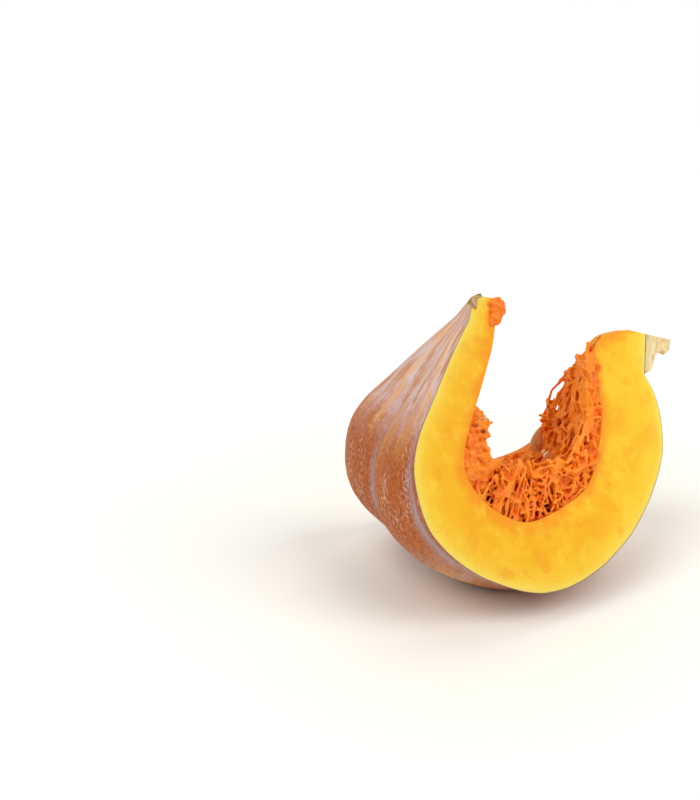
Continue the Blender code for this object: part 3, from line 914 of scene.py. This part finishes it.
def build_pulp(paint):
    """The web that lines the cavity, in three pieces: blossom side, floor and stalk side."""
    rng = np.random.default_rng(20)
    side = Strands()
    add_bed(side, (0.205, 0.375, 60), (-26.6, 23.0, 70), cell=0.0030, bumps=0.0060)
    add_net(
        side, rng, (0.215, 0.375), (-26.8, 22.5), pitch=(0.0100, 0.0090), over=(0.90, 1.08), sag=0.001,
        radii=(0.0012, 0.0019), drop=0.3,
    )
    add_ties(
        side, rng, (0.215, 0.37), 100, levels=(0.1, 0.92), turns=(-27.2, -24.5), length=(0.003, 0.008),
        radii=(0.0018, 0.0032),
    )
    add_fringe(
        side, rng, (0.225, 0.37), 40, reach=(0.5, 0.95), turns=(-27.8, -25.0), radii=(0.0010, 0.0019),
    )
    film = SEED_MIDDLES[SEED_NODES.index("seed_under_film")] + (0.0, -0.0028, 0.0012)
    for _ in range(9):
        away = rng.normal(0, 1, 3) * (1, 0.15, 1)
        away *= 0.0058 / np.linalg.norm(away)
        shift = rng.normal(0, 0.0026, 3) * (1, 0.1, 1)
        start, end = film - away + shift, film + away + shift
        side.strand(rng, start, end, (0, -0.0008, 0), 0.0008, 0.0011, 0.0016, 10)
    finish_pulp(side.fuse("pulp_blossom_side", "pulp", 0.0006, 4), paint, "pulp_web")

    floor = Strands()
    add_bed(floor, (0.355, 0.615, 70), (-22.5, 23.0, 60), cell=0.0070, bumps=0.0034)
    add_net(
        floor, rng, (0.36, 0.60), (-26.0, 22.5), pitch=(0.0095, 0.0074), over=(0.86, 1.10), sag=0.002,
        radii=(0.0007, 0.0012),
    )
    add_fringe(
        floor, rng, (0.37, 0.60), 230, reach=(0.40, 1.24), turns=(-28.3, -20.0),
        radii=(0.00056, 0.0011), lean=0.03,
    )
    add_ties(
        floor, rng, (0.365, 0.60), 180, levels=(0.0, 1.05), turns=(-28.3, -23.0),
        length=(0.007, 0.020), radii=(0.00056, 0.0010),
    )
    finish_pulp(floor.fuse("pulp_floor", "pulp", 0.00052, 2), paint, "pulp_web")

    wall = Strands()
    add_bed(wall, (0.585, 0.90, 80), (-26.5, 23.0, 60), cell=0.0065, bumps=0.0026)
    add_net(
        wall, rng, (0.60, 0.895), (-27.2, 22.8), pitch=(0.0120, 0.0088), over=(0.85, 1.20), sag=0.003,
        radii=(0.00068, 0.0013), drop=0.10, proud=0.005,
    )
    add_net(
        wall, rng, (0.60, 0.895), (-27.2, 22.8), pitch=(0.0160, 0.0120), over=(1.0, 1.40), sag=0.003,
        radii=(0.0006, 0.0011), drop=0.28, proud=0.009,
    )
    add_fringe(
        wall, rng, (0.60, 0.88), 60, reach=(0.6, 1.25), turns=(-28.4, -25.5), radii=(0.0007, 0.0012),
        lean=0.03,
    )
    add_spikes(wall, rng, (0.84, 0.925), 80, (-28.3, -8.0))
    for _ in range(16):
        share, theta = rng.uniform(0.725, 0.765), rng.uniform(10.0, 21.0)
        root = cavity_point(share, theta, 0.001)
        tip_share, tip_theta = 0.735 + rng.normal(0, 0.008), 15.0 + rng.normal(0, 2.5)
        tip = cavity_point(tip_share, tip_theta, rng.uniform(0.012, 0.021))
        wall.strand(rng, root, tip, rng.normal(0, 0.001, 3), 0.0012, 0.0008, 0.0013, 9)
    add_ties(
        wall, rng, (0.60, 0.885), 90, levels=(0.0, 1.0), turns=(-28.2, -25.5), length=(0.010, 0.020),
        radii=(0.0007, 0.0012),
    )
    finish_pulp(wall.fuse("pulp_stalk_side", "pulp", 0.00052, 2), paint, "pulp_web")


def build_tuft(paint):
    """The torn clump on the blossom arm."""
    rng = np.random.default_rng(5)
    tuft = Strands()
    torn_up = np.array((-0.0025, 0.0, 0.0035))
    for _ in range(120):
        share, theta = rng.uniform(0.0, 0.042), rng.uniform(-28.0, -2.0)
        height = 0.0105 * math.sin(math.pi * (share + 0.016) / 0.066)
        height *= math.sin(math.pi * (theta + 36) / 36)
        start = cavity_point(share, theta, 0.0)
        end_share, end_theta = share + rng.normal(0, 0.011), theta + rng.normal(0, 5)
        end = cavity_point(end_share, end_theta, max(height, 0.001) * rng.uniform(0.7, 1.1))
        thin = rng.uniform(0.0009, 0.0018)
        start, end = start + torn_up, end + torn_up
        tuft.strand(rng, start, end, rng.normal(0, 0.0010, 3), 0.0016, thin, thin * 1.2)
    piece = tuft.fuse("pulp_tuft_clump", "pulp", 0.0005, 3)
    set_attribute(piece, "lift", np.full(len(piece.data.vertices), 0.8))
    set_attribute(piece, "front", np.zeros(len(piece.data.vertices)))
    piece.data.materials.append(paint)
    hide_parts("pulp_tuft")


# --- Seeds, stalk and scar
SEED_POINTS = 56
# Rings of a seed's face, from its edge inwards: share of the outline, share of the thickness.
SEED_RINGS = [
    (1.0, 0.0), (0.985, 0.40), (0.94, 0.62), (0.89, 0.66), (0.84, 0.60), (0.78, 0.66), (0.66, 0.84),
    (0.50, 0.95), (0.30, 1.0), (0.12, 1.0),
]
SEED_RIM_FROM = 0.82
SEED_TAPER, SEED_POINT, SEED_BLUNTNESS = 0.28, 0.10, 6


def seed_lie(coarse):
    """A seed's centre, half sizes and axes, its longest axis towards its pointed end."""
    away = coarse - coarse.mean(0)
    axes = np.linalg.eigh(np.cov(away.T))[1].T[::-1]
    local = away @ axes.T
    if local[:, 0].max() < -local[:, 0].min():
        axes[0] = -axes[0]
        local[:, 0] = -local[:, 0]
    axes[2] = np.cross(axes[0], axes[1])
    centre = coarse.mean(0) + ((local.max(0) + local.min(0)) / 2) @ axes
    return centre, (local.max(0) - local.min(0)) / 2, axes


def build_seeds(paint):
    """Fine seeds where the CAD's lie: plump faces inside a raised rim, and a blunt point."""
    layers = [(s, -h) for s, h in SEED_RINGS[:0:-1]] + SEED_RINGS
    for name in SEED_NODES:
        centre, (length, width, thick), axes = seed_lie(node_points(name))
        points, rims, runs = [], [], []
        for share, height in layers:
            for k in range(SEED_POINTS):
                t = 2 * math.pi * k / SEED_POINTS
                x = (math.cos(t) + SEED_POINT * max(0.0, math.cos(t)) ** SEED_BLUNTNESS - 0.05) / 1.05
                y = math.sin(t) * (1.0 - SEED_TAPER * math.cos(t)) / 1.04
                run = (x * share * length, y * share * width, height * thick)
                points.append(centre + np.array(run) @ axes)
                rims.append(1.0 if share > SEED_RIM_FROM else 0.0)
                runs.append(run)
        seed = new_piece(name + "_coat", points, closed_rings(len(layers), SEED_POINTS))
        set_attribute(seed, "rim", rims)
        set_attribute(seed, "film", np.full(len(points), 0.8 if name == "seed_under_film" else 0.0))
        set_vectors(seed, "run", runs)
        close_up(seed)
        seed.data.materials.append(paint)
        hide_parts(name)


def turned_wedge(name, outline_at, turns, slices, length):
    """A closed mesh from the outlines at each slice, capped at both ends."""
    points, runs = [], []
    for theta in np.linspace(*turns, slices):
        ring = outline_at(theta)
        points.append(place(ring[:, 0], ring[:, 1], theta))
        runs.append(run_at(np.arange(len(ring)) / len(ring) * length, theta, 0.02))
    n = len(points[0])
    faces = ring_quads(slices, n)
    for k in (0, slices - 1):
        faces.append([k * n + i for i in range(n)])
    piece = new_piece(name, np.vstack(points), faces)
    set_vectors(piece, "run", np.vstack(runs))
    close_up(piece)
    return piece


FLUTE_PITCH, FLUTE_AT, FLUTE_DEPTH = 36.0, 6.0, 0.0022
FURROW_PITCH, FURROW_AT, FURROW_DEPTH = 7.2, 2.0, 0.00045
STALK_ROUGHNESS, CROWN_RISE = 0.0006, 0.0010
SCAR_SIZE, SCAR_ROUGHNESS, SCAR_SHIFT, SCAR_WRAP = 0.80, 0.16, (0.0045, -0.0030), 9.0


def build_stalk():
    """The wedge's share of the stalk: a flared foot with flutes, and a short broken column."""
    profile = smooth_through(STEM_PROFILE, 60)
    reach = profile[:, 1]

    def outline_at(theta):
        flute = math.cos(2 * math.pi * (theta + FLUTE_AT) / FLUTE_PITCH) * FLUTE_DEPTH
        furrow = math.cos(2 * math.pi * (theta + FURROW_AT) / FURROW_PITCH) * FURROW_DEPTH
        rough = grain(place(profile[:, 0], reach, theta), 260.0, 4, 8.0) * STALK_ROUGHNESS
        rho = reach + (flute + furrow) * np.minimum(1.0, reach / 0.02)
        rho += rough * np.minimum(1.0, reach / 0.005)
        ring = np.stack((profile[:, 0], rho), 1)
        head, foot = (STEM_PROFILE[0][0], 0.0), (STEM_PROFILE[-1][0] + CROWN_RISE, 0.0)
        seat = np.linspace(head, ring[0], 20)[:-1]
        crown = np.linspace(ring[-1], foot, 8)[1:]
        return np.vstack((seat, ring, crown))

    stalk = turned_wedge("stalk_stub", outline_at, (FRONT_CUT, REAR_CUT), 70, 0.06)
    cork = cork_paint("stalk_cork", (0.86, 0.72, 0.42), (0.72, 0.55, 0.27), 200.0, 0.35)
    stalk.data.materials.append(cork)
    stalk.data.set_sharp_from_angle(angle=math.radians(55))
    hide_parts("stem")


def build_scar():
    """The corky button that the flower left, cracked and grey-brown."""
    outline = smooth_through([*SCAR_OUTLINE, SCAR_OUTLINE[0]], 72)[:-1]
    middle = outline.mean(0)

    def outline_at(theta):
        rough = grain(place(outline[:, 0], outline[:, 1], theta), 330.0, 4, 6.0)
        size = SCAR_SIZE + SCAR_ROUGHNESS * rough[:, None]
        return middle + SCAR_SHIFT + (outline - middle) * size

    turns = (SCAR_TURNS[0] - SCAR_WRAP, SCAR_TURNS[1])
    scar = turned_wedge("scar_button", outline_at, turns, 60, 0.03)
    cork = cork_paint("scar_cork", (0.68, 0.47, 0.23), (0.26, 0.16, 0.075), 420.0, 1.0)
    scar.data.materials.append(cork)
    scar.data.set_sharp_from_angle(angle=math.radians(55))
    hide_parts("blossom_scar")


# --- Stage, light and camera
FLOOR_REACH = 6
LIT_POINT = (0.0, 0.0, 0.1)


def aim(thing, target):
    thing.rotation_euler = (Vector(target) - thing.location).to_track_quat("-Z", "Y").to_euler()


def add_light(name, kind, location, strength, colour, **settings):
    light = bpy.data.lights.new(name, kind)
    light.energy = strength
    light.color = colour
    for key, value in settings.items():
        setattr(light, key, value)
    lamp = add_object(name, light)
    lamp.location = location
    aim(lamp, LIT_POINT)


def build_stage():
    """A pale floor in a bright room, under soft light from several sides, with painted shade that makes it
    darker and warmer near the object.
    """
    mesh = bpy.data.meshes.new("floor")
    corners = [(-1, -1), (1, -1), (1, 1), (-1, 1)]
    mesh.from_pydata([(x * FLOOR_REACH, y * FLOOR_REACH, 0) for x, y in corners], [], [(0, 1, 2, 3)])
    floor = add_object("floor", mesh)
    paint = Paint("pale_floor", roughness=0.55, Specular_IOR_Level=0.25)
    spot = paint.position()
    away = paint.node("ShaderNodeVectorMath", operation="LENGTH")
    paint.wire(spot, away.inputs[0])
    cloud = paint.noise(spot, 3.0, 2)
    # Painted shade: the floor is darker and warmer near the object than far off.
    near = paint.mix((0.925, 0.915, 0.85), (0.945, 0.935, 0.875), cloud)
    paint.colour(paint.mix(near, (0.99, 0.99, 0.985), paint.band(away.outputs["Value"], 0.14, 0.50)))
    floor.data.materials.append(paint.material)
    world = bpy.context.scene.world or bpy.data.worlds.new("room")
    bpy.context.scene.world = world
    world.use_nodes = True
    set_inputs(world.node_tree.nodes["Background"], Color=(1.0, 0.985, 0.97, 1.0), Strength=0.20)
    add_light("right", "SUN", (0.45, -0.50, 0.95), 1.12, (1.0, 0.985, 0.96), angle=math.radians(40))
    add_light("left", "SUN", (-0.70, -0.20, 0.95), 1.50, (1.0, 0.99, 0.98), angle=math.radians(50))
    add_light("back", "SUN", (0.20, 0.60, 0.95), 1.0, (1.0, 1.0, 0.99), angle=math.radians(60))
    add_light("near", "AREA", (0.46, -0.50, 0.42), 0.9, (1.0, 0.97, 0.92), shape="DISK", size=0.35)
    bpy.context.scene.view_settings.view_transform = "Standard"


CAMERA_AT = (-0.4805, -0.8493, 0.5063)
CAMERA_TURN, CAMERA_DIP = math.radians(-22.02), math.radians(21.38)
LENS_MM, SENSOR_MM = 65.5, 36.0


def build_camera():
    """The viewing angle: a little above, towards the front cut and the blossom end."""
    lens = bpy.data.cameras.new("camera")
    lens.lens = LENS_MM
    lens.sensor_width = SENSOR_MM
    camera = add_object("camera", lens)
    camera.location = CAMERA_AT
    camera.rotation_euler = (math.pi / 2 - CAMERA_DIP, 0.0, CAMERA_TURN)
    bpy.context.scene.camera = camera


build_camera()
build_stage()
build_wedge()
wet_pulp = pulp_paint()
build_pulp(wet_pulp)
build_tuft(wet_pulp)
build_seeds(seed_paint())
build_stalk()
build_scar()
